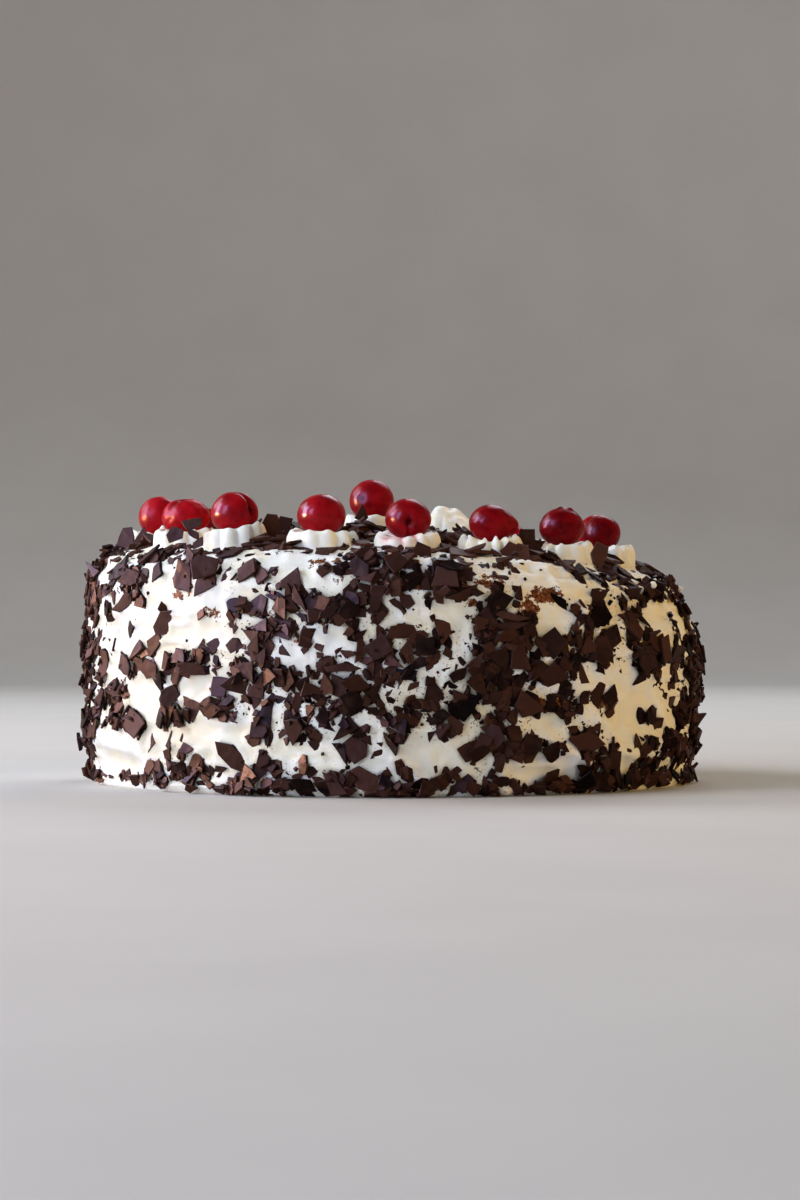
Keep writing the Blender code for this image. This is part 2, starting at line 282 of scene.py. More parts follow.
def side_relief(across, up):
    """What the spatula left on the side: long waves, slanting strokes with sharp crests where two meet, a
    rougher band under the rim, the top's cream folded over it, lowest at 46 degrees, and the foot squeezed
    out at the plate. All but the foot is deeper on the right. The shoulder's and foot's ease come off it."""
    slant = across + 0.5 * up
    relief = 0.9 * MM * soft_noise(across, up, 48 * MM, 17 * MM, 1, AROUND)
    relief += 0.65 * MM * soft_noise(slant, up, 26 * MM, 6.5 * MM, 2, AROUND)
    crest = 1.0 - np.abs(soft_noise(slant, up, 34 * MM, 11 * MM, 3, AROUND))
    relief += 1.2 * MM * crest**7
    small = 1.0 - np.abs(soft_noise(across - 0.4 * up, up, 15 * MM, 5 * MM, 4, AROUND))
    relief += 0.75 * MM * small**6
    relief += 0.42 * MM * soft_noise(across, up, 5 * MM, 3.2 * MM, 5, AROUND)
    torn = smooth_step((up - 78 * MM) / (10 * MM)) * smooth_step((108 * MM - up) / (8 * MM))
    relief += 0.5 * MM * torn * soft_noise(across, up, 6.5 * MM, 3.6 * MM, 10, AROUND)
    fold = FOLD_UP + 5 * MM * soft_noise(across, 0 * up, 52 * MM, 1.0, 6, AROUND)
    fold += 2.2 * MM * soft_noise(across, 0 * up, 13 * MM, 1.0, 7, AROUND)
    angle = across / SIDE_RADIUS
    right = smooth_step((np.sin(angle) - 0.2) / 0.4)
    relief *= 1.0 + 0.4 * right
    fold -= 7 * MM * bell_around(angle, math.radians(46), math.radians(16))
    over = up - fold
    depth = (1.4 + 1.2 * right) * MM
    relief += depth * smooth_step(over / (1.8 * MM)) * np.exp(-np.maximum(over, 0) / (9 * MM))
    squeeze = 0.7 + 0.9 * soft_noise(across, 0 * up, 17 * MM, 1.0, 8, AROUND)
    squeeze += 0.5 * soft_noise(across, 0 * up, 6 * MM, 1.0, 9, AROUND)
    relief += squeeze * MM * bell(up, 5.5 * MM)
    return relief - shoulder_ease(angle, up) - foot_ease(angle, up)


def top_relief(x, y):
    """The top's relief: shallow arcs of the spatula round a point off the middle, and soft lumps."""
    reach = np.hypot(x - 60 * MM, y + 40 * MM)
    relief = 0.7 * MM * soft_noise(np.arctan2(y, x) * 60 * MM, reach, 37 * MM, 9 * MM, 21)
    relief += 0.6 * MM * soft_noise(x, y, 21 * MM, 15 * MM, 22)
    crest = 1.0 - np.abs(soft_noise(x + 0.3 * y, y, 30 * MM, 12 * MM, 23))
    up = FLOOR_WAY - way_on_top(x, y)
    return relief + 0.7 * MM * crest**6 - shoulder_ease(np.arctan2(x, -y), up)


def cream_relief(angle, way):
    """The side's relief below the shoulder and the top's above it, crossing over along the rim."""
    side = side_relief(angle * SIDE_RADIUS, FLOOR_WAY - way)
    radius = np.interp(way, LINE_WAY, LINE_RADIUS)
    top = top_relief(radius * np.sin(angle), -radius * np.cos(angle))
    share = smooth_step((way - (RIM_WAY - 12 * MM)) / (14 * MM))
    return top * (1.0 - share) + side * share


class Sheet:
    """A stretch of cream rolled out flat, as square cells that hold how high it stands. Pieces are laid on it
    one after another, and each raises the cells that it covers."""

    def __init__(self, low, high, closes, place, relief):
        self.low = np.array(low)
        self.closes = closes
        self.place = place
        self.shape = tuple(np.round((np.array(high) - self.low) / CELL).astype(int))
        self.bare = relief(*self.middles())
        self.height = self.bare.copy()
        self.covered = np.zeros(self.shape, bool)
        self.shut = np.zeros(self.shape, bool)

    def middles(self):
        """Where the middles of all the cells are, along the sheet and up it."""
        first, second = (self.low[k] + (np.arange(self.shape[k]) + 0.5) * CELL for k in range(2))
        return np.meshgrid(first, second, indexing="ij")

    def cells(self, at, reach):
        """The cells within reach of a place: their rows, columns, and positions from the place."""
        first, last = np.floor((at - reach - self.low) / CELL), np.ceil((at + reach - self.low) / CELL)
        row, column = np.arange(first[0], last[0], dtype=int), np.arange(first[1], last[1], dtype=int)
        column = column[(column >= 0) & (column < self.shape[1])]
        if not self.closes:
            row = row[(row >= 0) & (row < self.shape[0])]
        away = (self.low[0] + (row + 0.5) * CELL - at[0], self.low[1] + (column + 0.5) * CELL - at[1])
        return row % self.shape[0], column, away

    def settle(self, at, corners, slope, thick, hold, sink):
        """Lays a flat piece there: a plane of least squares through the cells under it, limited and added to
        its own slope, raised until the share hold of them is below it. Gives its height and slope, or
        None."""
        row, column, (first, second) = self.cells(at, np.abs(corners).max(axis=0) + CELL)
        if row.size == 0 or column.size == 0:
            return None
        x, y = np.meshgrid(first, second, indexing="ij")
        inside = np.ones(x.shape, bool)
        for start, end in zip(corners, np.roll(corners, -1, axis=0)):
            inside &= (end[0] - start[0]) * (y - start[1]) >= (end[1] - start[1]) * (x - start[0])
        if inside.sum() < 3:
            return None
        picked = np.ix_(row, column)
        if self.shut[picked][inside].mean() > MOST_SHUT:
            return None
        x, y, under = x[inside], y[inside], self.height[picked][inside]
        across, along = x - x.mean(), y - y.mean()
        fitted = np.array([(across * under).sum(), (along * under).sum()])
        fitted /= np.array([(across**2).sum(), (along**2).sum()]) + 1e-12
        fitted *= min(1.0, STEEPEST_BED / (np.hypot(*fitted) + 1e-9))
        slope = slope + BED_FOLLOWED * fitted
        rest = under - slope[0] * x - slope[1] * y
        level = np.quantile(rest, hold) - sink
        raised = level + slope[0] * x + slope[1] * y + thick
        block = self.height[picked]
        block[inside] = np.maximum(block[inside], raised)
        self.height[picked] = block
        marks = self.covered[picked]
        marks[inside] = True
        self.covered[picked] = marks
        return level, slope

    def stack(self, at):
        """How far the pieces already rise above the bare cream at one place."""
        row, column, _ = self.cells(at, np.array([CELL, CELL]))
        if row.size == 0 or column.size == 0:
            return 0.0
        return float(self.height[row[0], column[0]] - self.bare[row[0], column[0]])

    def read(self, grid, across, up):
        """The grid's value at each place, joined straight between cell middles."""
        row = (across - self.low[0]) / CELL - 0.5
        column = np.clip((up - self.low[1]) / CELL - 0.5, 0, self.shape[1] - 1.001)
        if not self.closes:
            row = np.clip(row, 0, self.shape[0] - 1.001)
        i, j = np.floor(row).astype(int), np.floor(column).astype(int)
        share, rise = row - i, column - j
        near, far = i % self.shape[0], (i + 1) % self.shape[0]
        lower = grid[near, j] * (1 - share) + grid[far, j] * share
        upper = grid[near, j + 1] * (1 - share) + grid[far, j + 1] * share
        return lower * (1 - rise) + upper * rise

    def lips(self):
        """How the cream answers the pieces: sunk a little under them and pushed up along their edges. The
        cover is blurred by a bell curve c, and 4c(1-c) is highest along an edge."""
        waves = np.fft.rfftfreq(self.shape[1])[None, :] ** 2 + np.fft.fftfreq(self.shape[0])[:, None] ** 2
        bell = np.exp(-2 * math.pi**2 * waves * (LIP_WIDTH / CELL) ** 2)
        blurred = np.fft.irfft2(np.fft.rfft2(self.covered.astype(float)) * bell, s=self.shape)
        blurred = np.clip(blurred, 0, 1)
        return LIP_RISE * (4 * blurred * (1 - blurred) - 0.9 * blurred)


def side_place(across, up):
    """A point of the side's sheet in space, and the directions across, up and out of it."""
    step = 0.2 * MM
    angle, way = across / SIDE_RADIUS, FLOOR_WAY - up
    along = on_cream(angle + step / SIDE_RADIUS, way) - on_cream(angle - step / SIDE_RADIUS, way)
    rise = on_cream(angle, way - step) - on_cream(angle, way + step)
    return on_cream(angle, way), *square_axes(along, rise)


def top_place(x, y):
    """The same for the top's sheet, whose directions are +X, +Y and up."""
    step = 0.2 * MM
    point = np.stack([x, y, top_height(x, y)], axis=-1)
    along = np.stack([x + step, y, top_height(x + step, y)], axis=-1) - point
    rise = np.stack([x, y + step, top_height(x, y + step)], axis=-1) - point
    return point, *square_axes(along, rise)


def square_axes(along, rise):
    """Three unit directions square to each other: along, the way up nearest to rise, and out."""
    along = along / np.linalg.norm(along, axis=-1, keepdims=True)
    out = np.cross(along, rise)
    out /= np.linalg.norm(out, axis=-1, keepdims=True)
    return along, np.cross(out, along), out


def chip_corners(draw, length, width, count):
    """A broken chip: points of an ellipse at uneven angles, stretched to the length and width, with its
    longest edges parted by a barely raised point until it has FLAKE_CORNERS corners."""
    gaps = draw.dirichlet(np.full(count, 7.0)) * TURN
    turns = draw.uniform(0, TURN) + np.cumsum(gaps)
    corners = np.column_stack([np.cos(turns), np.sin(turns)])
    corners -= (corners.max(axis=0) + corners.min(axis=0)) / 2
    corners *= np.array([length, width]) / (corners.max(axis=0) - corners.min(axis=0))
    while len(corners) < FLAKE_CORNERS:
        ahead = np.roll(corners, -1, axis=0) - corners
        longest = int(np.argmax(np.hypot(*ahead.T)))
        edge = ahead[longest]
        outward = np.array([edge[1], -edge[0]]) * draw.uniform(-0.03, 0.07)
        point = corners[longest] + edge * draw.uniform(0.35, 0.65) + outward
        corners = np.insert(corners, longest + 1, point, axis=0)
    return corners


def plate_axes(slope, turn):
    """A tilted plate's own axes in its sheet's directions: its length, its width and its face."""
    face = np.array([-slope[0], -slope[1], 1.0])
    face /= np.linalg.norm(face)
    length = np.array([math.cos(turn), math.sin(turn), slope[0] * math.cos(turn) + slope[1] * math.sin(turn)])
    length /= np.linalg.norm(length)
    return np.stack([length, np.cross(face, length), face])


class Flakes:
    """The chocolate chips laid on one sheet."""

    def __init__(self, sheet, seed, batch_and_light_ranges):
        self.sheet = sheet
        self.draw = np.random.default_rng(seed)
        self.batch_and_light_ranges = batch_and_light_ranges
        self.rows = []

    def lay(self, at, length, width, count, turn, lean, most_stack):
        """Lays one chip, unless the pieces there already stand too high. A steep one is held by its lower
        edge in the cream, and the others lie on whatever is under them."""
        draw = self.draw
        at = np.array(at)
        if self.sheet.stack(at) > most_stack:
            return
        outline = chip_corners(draw, length, width, count)
        thick = draw.uniform(*FLAKE_THICK) * (0.75 + 0.25 * min(1.0, length / (7 * MM)))
        bearing = draw.uniform(0, TURN)
        slope = math.tan(lean) * np.array([math.cos(bearing), math.sin(bearing)])
        axes = plate_axes(slope, turn)
        corners = outline @ axes[:2, :2]
        steep = lean > math.radians(30)
        hold, sink = (0.6, 0.3 * MM) if steep else (0.86, draw.uniform(0.1, 0.5) * MM)
        found = self.sheet.settle(at, corners, slope, thick, hold, sink)
        if found is None:
            return
        level, slope = found
        batch_and_light, shine = draw.uniform(*self.batch_and_light_ranges), draw.uniform(0, 1)
        self.rows.append((at, level, plate_axes(slope, turn), outline, thick, batch_and_light, shine))

    def stand(self, at, height, length, width, turn, facing, upward):
        """Stands one chip on the top with its middle at that height. Its face looks along the heading and
        upward by that angle."""
        draw = self.draw
        at = np.array(at)
        flat = np.array([math.cos(facing), math.sin(facing), 0.0])
        face = direction((math.degrees(facing), math.degrees(upward)))
        rise = np.cross(face, flat)
        long = math.cos(turn) * flat + math.sin(turn) * rise
        axes = np.stack([long, np.cross(face, long), face])
        outline = chip_corners(draw, length, width, int(draw.integers(4, 6)))
        level = height - float(top_height(*at))
        thick, batch_and_light, shine = draw.uniform(*FLAKE_THICK), draw.uniform(*self.batch_and_light_ranges), draw.uniform(0, 1)
        self.rows.append((at, level, axes, outline, thick, batch_and_light, shine))

    def piece(self, name, material):
        """All the chips as one mesh: a bottom ring, a top ring, and a smaller ring for the broken bevel."""
        at, level, axes, outline, thick, batch_and_light, shine = (np.array(column) for column in zip(*self.rows))
        origin, along, rise, out = self.sheet.place(at[:, 0], at[:, 1])
        curl = self.draw.normal(0, 0.005, len(at))[:, None] / MM
        warp = self.draw.normal(0, 0.035 * MM, outline.shape[:2]) + curl * outline[..., 0] ** 2
        rings = [
            np.concatenate([outline * share, (depth * thick[:, None] + warp)[..., None]], axis=2)
            for share, depth in ((0.95, 0.0), (1.0, 0.8), (0.93, 1.0))
        ]
        local = np.concatenate(rings, axis=1) @ axes
        local[..., 2] += level[:, None]
        frames = np.stack([along, rise, out], axis=1)
        points = origin[:, None, :] + local @ frames
        points[..., 2] += np.maximum(0.2 * MM - points[..., 2].min(axis=1), 0)[:, None]
        points = points.reshape(-1, 3)
        n = FLAKE_CORNERS
        here = np.arange(n)
        ahead = (here + 1) % n
        walls = [(a, b, b + n, a + n) for a, b in zip(here, ahead)]
        walls += [(a + n, b + n, b + 2 * n, a + 2 * n) for a, b in zip(here, ahead)]
        base = np.arange(len(at))[:, None, None] * 3 * n
        quads = (base + np.array(walls)[None]).reshape(-1, 4)
        tops = (base[:, 0] + here[None] + 2 * n).reshape(-1, n)
        bottoms = (base[:, 0] + here[None, ::-1]).reshape(-1, n)
        faces = quads.tolist() + tops.tolist() + bottoms.tolist()
        made = new_piece(name, points, faces, material, smooth=False)
        add_values(made, "batch_and_light", np.repeat(batch_and_light, 3 * n))
        add_values(made, "shine", np.repeat(shine, 3 * n))
        return made


def new_object(name, points, faces, material, smooth=True):
    """A mesh object with its place in its mesh."""
    mesh = bpy.data.meshes.new(name)
    mesh.from_pydata(np.asarray(points).tolist(), [], faces)
    mesh.polygons.foreach_set("use_smooth", np.full(len(mesh.polygons), smooth))
    mesh.materials.append(material)
    mesh.update()
    made = bpy.data.objects.new(name, mesh)
    bpy.context.scene.collection.objects.link(made)
    return made


def new_piece(name, points, faces, material, smooth=True):
    """A mesh object that rides on the cake."""
    made = new_object(name, points, faces, material, smooth)
    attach(made, "root")
    return made


def add_values(made, name, values):
    """Gives each of the piece's points a number that its material reads."""
    layer = made.data.attributes.new(name, "FLOAT", "POINT")
    layer.data.foreach_set("value", np.asarray(values, np.float32))


def wrapped_faces(rows, columns):
    """Faces of a grid that closes round its columns, between a first point and a last one: triangles at both
    ends and four-sided faces between. Point 0 is the first, then the rows, then the last."""
    here = np.arange(columns)
    ahead = (here + 1) % columns
    first = [(0, 1 + a, 1 + b) for a, b in zip(here, ahead)]
    start = 1 + np.arange(rows - 1)[:, None] * columns
    middle = np.stack([start + here, start + columns + here, start + columns + ahead, start + ahead], axis=-1)
    last = 1 + (rows - 1) * columns
    final = [(last + a, last + columns, last + b) for a, b in zip(here, ahead)]
    return first + middle.reshape(-1, 4).tolist() + final


def facing_out(points, faces):
    """The faces turned round if the closed shape they make is inside out, by the sign of its volume."""
    points = np.asarray(points)
    quads = np.array([face for face in faces if len(face) == 4])
    a, b, c, d = (points[quads[:, k]] for k in range(4))
    volume = np.einsum("ij,ij->", a, np.cross(b, c)) + np.einsum("ij,ij->", a, np.cross(c, d))
    return faces if volume > 0 else [tuple(reversed(face)) for face in faces]


def wrapped_piece(name, first, grid, last, material):
    """A closed piece from a grid of points (rows, columns, 3) and the points that close its two ends."""
    rows, columns = grid.shape[:2]
    points = np.concatenate([[first], grid.reshape(-1, 3), [last]])
    return new_piece(name, points, facing_out(points, wrapped_faces(rows, columns)), material)


# Materials


def linear(code):
    """An sRGB hex colour such as D8C9A0 as the linear red, green, blue and alpha that shaders take."""
    shares = [int(code[k : k + 2], 16) / 255 for k in (0, 2, 4)]
    return (*[s / 12.92 if s <= 0.04045 else ((s + 0.055) / 1.055) ** 2.4 for s in shares], 1.0)


def add(tree, kind, inputs=None, **settings):
    """Adds one node with its settings, and sets or links its inputs, which are named by identifier."""
    node = tree.nodes.new(kind)
    for name, value in settings.items():
        setattr(node, name, value)
    sockets = {socket.identifier: socket for socket in node.inputs}
    for name, value in (inputs or {}).items():
        if isinstance(value, bpy.types.NodeSocket):
            tree.links.new(value, sockets[name])
        else:
            sockets[name].default_value = value
    return node


class Look:
    """A material with one Principled shader, whose even values are set on its own sockets."""

    def __init__(self, name, **constants):
        self.made = bpy.data.materials.new(name)
        self.made.use_nodes = True
        self.tree = self.made.node_tree
        self.shader = self.tree.nodes["Principled BSDF"]
        for socket, value in constants.items():
            self.shader.inputs[socket.replace("_", " ")].default_value = value
        self.where = add(self.tree, "ShaderNodeTexCoord").outputs["Object"]

    def value(self, name):
        """The number of that name on the piece's points."""
        return add(self.tree, "ShaderNodeAttribute", attribute_name=name).outputs["Fac"]

    def ranged(self, value, start=(0.0, 1.0), end=(0.0, 1.0), kind="LINEAR"):
        """The value carried from one range into another and held at its ends."""
        inputs = dict(zip(("Value", "From Min", "From Max", "To Min", "To Max"), (value, *start, *end)))
        return add(self.tree, "ShaderNodeMapRange", inputs, interpolation_type=kind).outputs["Result"]

    def noise(self, size, low, high, detail=2.0, rough=0.5):
        """Noise whose spots are about that size in metres, stretched so that low becomes 0 and high 1."""
        inputs = {"Vector": self.where, "Scale": 0.6 / size, "Detail": detail, "Roughness": rough}
        noise = add(self.tree, "ShaderNodeTexNoise", inputs)
        return self.ranged(noise.outputs["Fac"], (low, high), kind="SMOOTHSTEP")

    def mix(self, share, first, second):
        """The first colour turned into the second by the share. A colour is a socket or a hex code."""
        first, second = (linear(colour) if isinstance(colour, str) else colour for colour in (first, second))
        inputs = {"Factor_Float": share, "A_Color": first, "B_Color": second}
        return add(self.tree, "ShaderNodeMix", inputs, data_type="RGBA").outputs[2]

    def math(self, first, second, operation="MULTIPLY"):
        """The two values multiplied, or put together by another operation."""
        inputs = {"Value": first, "Value_001": second}
        return add(self.tree, "ShaderNodeMath", inputs, operation=operation).outputs["Value"]

    def bump(self, height, strength, depth, under=None):
        """A grain of that depth pressed into the surface, or into the bump under it."""
        inputs = {"Height": height, "Strength": strength, "Distance": depth}
        if under is not None:
            inputs["Normal"] = under
        return add(self.tree, "ShaderNodeBump", inputs).outputs["Normal"]

    def feed(self, **values):
        """Links the values to the shader's sockets of those names, and gives the material."""
        for socket, value in values.items():
            self.tree.links.new(value, self.shader.inputs[socket.replace("_", " ")])
        return self.made


def spread_cream():
    """Whipped cream, spread with a spatula: fat and air, so light goes deep and comes back soft and warm. It
    has a dull satin gloss, a fine grain of air bubbles, and chocolate dust and sponge where it was torn. Its
    low places are tinted yellow as painted shade."""
    look = Look(
        "whipped_cream_spread", Roughness=0.5, IOR=1.4, Specular_IOR_Level=0.06, Subsurface_Weight=0.3,
        Subsurface_Scale=0.0022, Subsurface_Radius=CREAM_REACH,
    )
    colour = look.mix(look.noise(14 * MM, 0.4, 0.7), "FAF7EE", "F7EFD9")
    # Painted shade: the cream turns yellower where its relief lies low, as shade falls in the recesses.
    colour = look.mix(look.math(look.value("hollow_and_shade"), 0.5), colour, "F3E6C0")
    ragged = look.noise(2.0 * MM, 0.3, 0.7, detail=4.0, rough=0.7)
    torn = look.ranged(look.math(ragged, look.value("sponge"), "ADD"), (1.0, 1.12), kind="SMOOTHSTEP")
    crumb = look.mix(look.noise(0.9 * MM, 0.35, 0.65), "4A2614", "8A5330")
    colour = look.mix(torn, colour, crumb)
    stained = look.math(look.value("juice"), look.noise(3 * MM, 0.3, 0.7))
    colour = look.mix(stained, colour, "E58AA6")
    specks = look.math(look.value("dust"), look.noise(0.7 * MM, 0.63, 0.7, detail=1.0))
    colour = look.mix(specks, colour, "5A3A2A")
    grain = look.noise(1.6 * MM, 0.2, 0.8, detail=4.0, rough=0.6)
    return look.feed(Base_Color=colour, Normal=look.bump(grain, 0.35, 0.35 * MM))


def piped_cream():
    """The same cream squeezed through a star nozzle: smoother and a little glossier along its ridges, with
    cherry juice run into its grooves."""
    look = Look(
        "whipped_cream_piped", Roughness=0.42, IOR=1.4, Specular_IOR_Level=0.14, Subsurface_Weight=0.4,
        Subsurface_Scale=0.0025, Subsurface_Radius=CREAM_REACH,
    )
    colour = look.mix(look.noise(6 * MM, 0.45, 0.75), "FCF8EC", "F6EDD2")
    stained = look.math(look.value("juice"), look.noise(2.4 * MM, 0.3, 0.62, detail=3.0))
    colour = look.mix(stained, colour, "E0527E")
    grain = look.noise(1.3 * MM, 0.2, 0.8, detail=3.0)
    return look.feed(Base_Color=colour, Normal=look.bump(grain, 0.2, 0.25 * MM))


def broken_chocolate():
    """Dark couverture, set in a thin sheet and broken: a satin face with a breath of grey bloom, and a finely
    grained break. Each chip is a little lighter, darker or glossier than the next, and the chips on the top
    are given lighter colours than those on the side as painted light."""
    look = Look("dark_chocolate_broken", IOR=1.46, Specular_IOR_Level=0.065)
    colour = look.mix(look.value("batch_and_light"), "0B0403", "503125")
    bloom = look.noise(4 * MM, 0.45, 0.8, detail=4.0, rough=0.6)
    colour = look.mix(look.math(bloom, 0.2), colour, "63443A")
    gloss = look.ranged(look.value("shine"), end=(0.4, 0.65))
    grain = look.bump(look.noise(0.7 * MM, 0.2, 0.8, detail=3.0), 0.25, 0.1 * MM)
    waves = look.bump(look.noise(3 * MM, 0.2, 0.8, detail=1.0), 0.6, 0.35 * MM, under=grain)
    return look.feed(Base_Color=colour, Roughness=gloss, Normal=waves)


def cake_crumb():
    """Cocoa sponge, torn into crumbs: dry, matt and full of small holes."""
    look = Look("cocoa_sponge_torn", Roughness=0.85, IOR=1.4)
    colour = look.mix(look.noise(0.8 * MM, 0.3, 0.7, detail=3.0), "5E3522", "A5714C")
    grain = look.noise(0.6 * MM, 0.2, 0.8, detail=3.0)
    return look.feed(Base_Color=colour, Normal=look.bump(grain, 0.6, 0.2 * MM))


def cherry_skin():
    """A stoned sour cherry, drained from its jar: a thin taut skin over red flesh that the light goes into,
    mottled darker and lighter with fine pores. Each is wet or dull, and each has its own darkness of red: on
    the cherries along the front it goes from light on the left to dark on the right as painted light and
    shade, and on those behind it differs at random. The stone's hole and creases are darkened as painted
    shade."""
    look = Look(
        "sour_cherry_wet", Roughness=0.3, IOR=1.45, Specular_IOR_Level=0.03, Coat_IOR=1.4,
        Subsurface_Weight=0.05, Subsurface_Scale=0.002, Subsurface_Radius=(1.0, 0.14, 0.1),
    )
    mottle = look.noise(3.5 * MM, 0.3, 0.7, detail=4.0, rough=0.6)
    bright, dark = look.mix(mottle, "920A14", "BC1420"), look.mix(mottle, "480104", "700308")
    # Painted light and shade: the front cherries' red is bright on the left and dark on the right, as the
    # light falls from the left.
    colour = look.mix(look.value("ripe_and_shading"), bright, dark)
    colour = look.mix(look.math(look.noise(0.9 * MM, 0.5, 0.75), 0.2), colour, "B01420")
    # Painted shade: the stone's hole and the creases are darkened, as shade falls in them.
    colour = look.mix(look.value("hollow_and_shade"), colour, "2E0206")
    dull = look.value("dull")
    rough, wet = look.ranged(dull, end=(0.12, 0.34)), look.ranged(dull, end=(0.28, 0.08))
    skin = look.bump(look.noise(1.7 * MM, 0.2, 0.8, detail=3.0), 0.1, 0.2 * MM)
    return look.feed(Base_Color=colour, Coat_Roughness=rough, Coat_Weight=wet, Normal=skin)


def painted_board():
    """Matt painted board, the studio's pale sweep: even, with a barely seen roller grain."""
    look = Look("matt_painted_board", Roughness=0.9, Specular_IOR_Level=0.1)
    return look.feed(Base_Color=look.mix(look.noise(60 * MM, 0.3, 0.7), "C8C5BE", "CBC8C1"))


# Pieces


def near_patches(across, up, patches, reach):
    """The strongest of the patches at each place, from 1 well inside to 0 at reach times their half sizes."""
    found = np.zeros(np.shape(across))
    for patch in patches:
        share = patch_share(across, up, patch)
        found = np.maximum(found, patch[4] * smooth_step((reach - share) / (reach - 0.5)))
    return found


def cream_coat(material, side_sheet, top_sheet):
    """The cream all round as one closed grid of angle and way along the outline, with the spatula's relief
    and the lips that the flakes pushed up."""
    angle = np.arange(COAT_COLUMNS) / COAT_COLUMNS * TURN - math.pi
    top_ways = RIM_WAY * np.linspace(0, 0.95, TOP_ROWS)[1:] ** 0.9
    side_ways = np.arange(top_ways[-1] + SIDE_ROW, LINE_WAY[FOOT], SIDE_ROW)
    foot_ways = LINE_WAY[FOOT] + np.array([0.0, 0.35, 0.7, 1.0]) * (LINE_WAY[FOOT + 1] - LINE_WAY[FOOT])
    base_ways = LINE_WAY[-1] - np.array([100, 50, 10]) * MM
    way = np.concatenate([top_ways, side_ways, foot_ways])
    around, along = np.meshgrid(angle, way)
    across, up = around * SIDE_RADIUS, FLOOR_WAY - along
    radius = np.interp(along, LINE_WAY, LINE_RADIUS)
    x, y = radius * np.sin(around), -radius * np.cos(around)
    on_side = smooth_step((SHOULDER_UP - 2 * MM - up) / (4 * MM))
    lips = side_sheet.read(side_sheet.lips(), across, up) * on_side
    lips += top_sheet.read(top_sheet.lips(), x, y) * (1 - on_side)
    fade = smooth_step(up / (1.5 * MM))
    relief = cream_relief(around, along)
    points = on_cream(around, along, (relief + lips) * (0.3 + 0.7 * fade))
    points[..., 2] = np.maximum(points[..., 2], 0.0)
    points[-1, :, 2] = 0.0
    under = on_cream(*np.meshgrid(angle, base_ways))
    grid = np.concatenate([points, under])
    first = on_cream(0.0, 0.0, float(cream_relief(0.0, 0.0)))
    made = wrapped_piece("cream_coat", first, grid, np.zeros(3), material)
    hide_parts("cake_body")
    eased = relief + shoulder_ease(around, up) + foot_ease(around, up)
    values = {
        "sponge": near_patches(across, up, SPONGE_PATCHES, 1.5),
        "juice": near_patches(across, up, JUICE_PATCHES, 1.5),
        "dust": 0.8 * chance_on_side(across, up),
        # Painted shade: how low the relief lies, which tints the cream yellow there.
        "hollow_and_shade": smooth_step((0.9 * MM - eased) / (1.8 * MM)),
    }
    for name, value in values.items():
        everywhere = np.concatenate([[0.0], value.ravel(), np.zeros(angle.size * base_ways.size + 1)])
        add_values(made, name, everywhere)


def chance_on_side(across, up):
    """How readily a chip stuck at each place of the side: fewest at the left, in clusters of two sizes, then
    more in the thick patches and few in the bare ones."""
    chance = 0.30 + 0.17 * smooth_step((across / SIDE_RADIUS + 0.65) / 0.5)
    chance = chance + 0.43 * soft_noise(across + 0.6 * up, up, 27 * MM, 15 * MM, 41, AROUND)
    chance += 0.3 * soft_noise(across, up, 12 * MM, 9 * MM, 42, AROUND)
    for patch in THICK_PATCHES:
        share = patch_share(across, up, patch)
        chance = np.maximum(chance, 1.15 * smooth_step((1.35 - share) / 0.6))
    for patch in BARE_PATCHES:
        share = patch_share(across, up, patch)
        chance = chance * smooth_step((share - 0.8) / 0.45)
    return np.clip(chance, 0.012, 1.0)


def side_flakes(sheet, material):
    """The chips on the side: thrown all over it, swept up along its foot, then the chosen ones pressed on."""
    # Each chip's colour is drawn at random from this range. It is darker than the top's range, whose lighter
    # colours are painted light.
    made = Flakes(sheet, 51, (0.0, 0.76))
    draw = made.draw
    across = draw.uniform(-AROUND / 2, AROUND / 2, SIDE_THROWS)
    places = np.column_stack([across, draw.uniform(1, 106, SIDE_THROWS) * MM])
    for place in np.flatnonzero(draw.uniform(size=len(places)) < chance_on_side(*places.T)):
        at = places[place]
        made.draw = draw = np.random.default_rng((51, place))
        large = draw.uniform() < 0.5
        length = (7.6 if large else 3.9) * math.exp(0.27 * draw.normal()) * MM
        width = length * draw.uniform(0.38, 0.82)
        lean = math.radians(abs(draw.normal()) * 14 if draw.uniform() < 0.8 else draw.uniform(30, 65))
        length *= 1.0 if lean < 0.5 else 0.75
        count = draw.choice([3, 4, 5, 6], p=[0.28, 0.44, 0.18, 0.1])
        deepest = (2.6 if at[1] < 90 * MM else 1.5) * MM
        made.lay(at, length, width, int(count), draw.uniform(0, TURN), lean, deepest)
    made.draw = draw = np.random.default_rng(52)
    for _ in range(FOOT_THROWS):
        at = np.array([draw.uniform(-AROUND / 2, AROUND / 2), draw.uniform(0.8, 6.5) * MM])
        from_left = smooth_step((at[0] / SIDE_RADIUS + 0.75) / 0.4)
        if draw.uniform() < 0.3 + 0.7 * from_left * (at[0] < 2.2 * SIDE_RADIUS):
            length = 7.5 * math.exp(0.25 * draw.normal()) * MM
            lean = math.radians(draw.uniform(4, 22))
            made.lay(at, length, length * draw.uniform(0.4, 0.8), 4, draw.normal(0, 0.6), lean, 3.5 * MM)
    made.draw = draw = np.random.default_rng(53)
    for angle, up, length, width, turn, count in CHOSEN_CHIPS:
        at = (math.radians(angle) * SIDE_RADIUS, up * MM)
        lean = math.radians(draw.uniform(4, 22))
        made.lay(at, length * MM, width * MM, count, math.radians(turn), lean, 9 * MM)
    return made


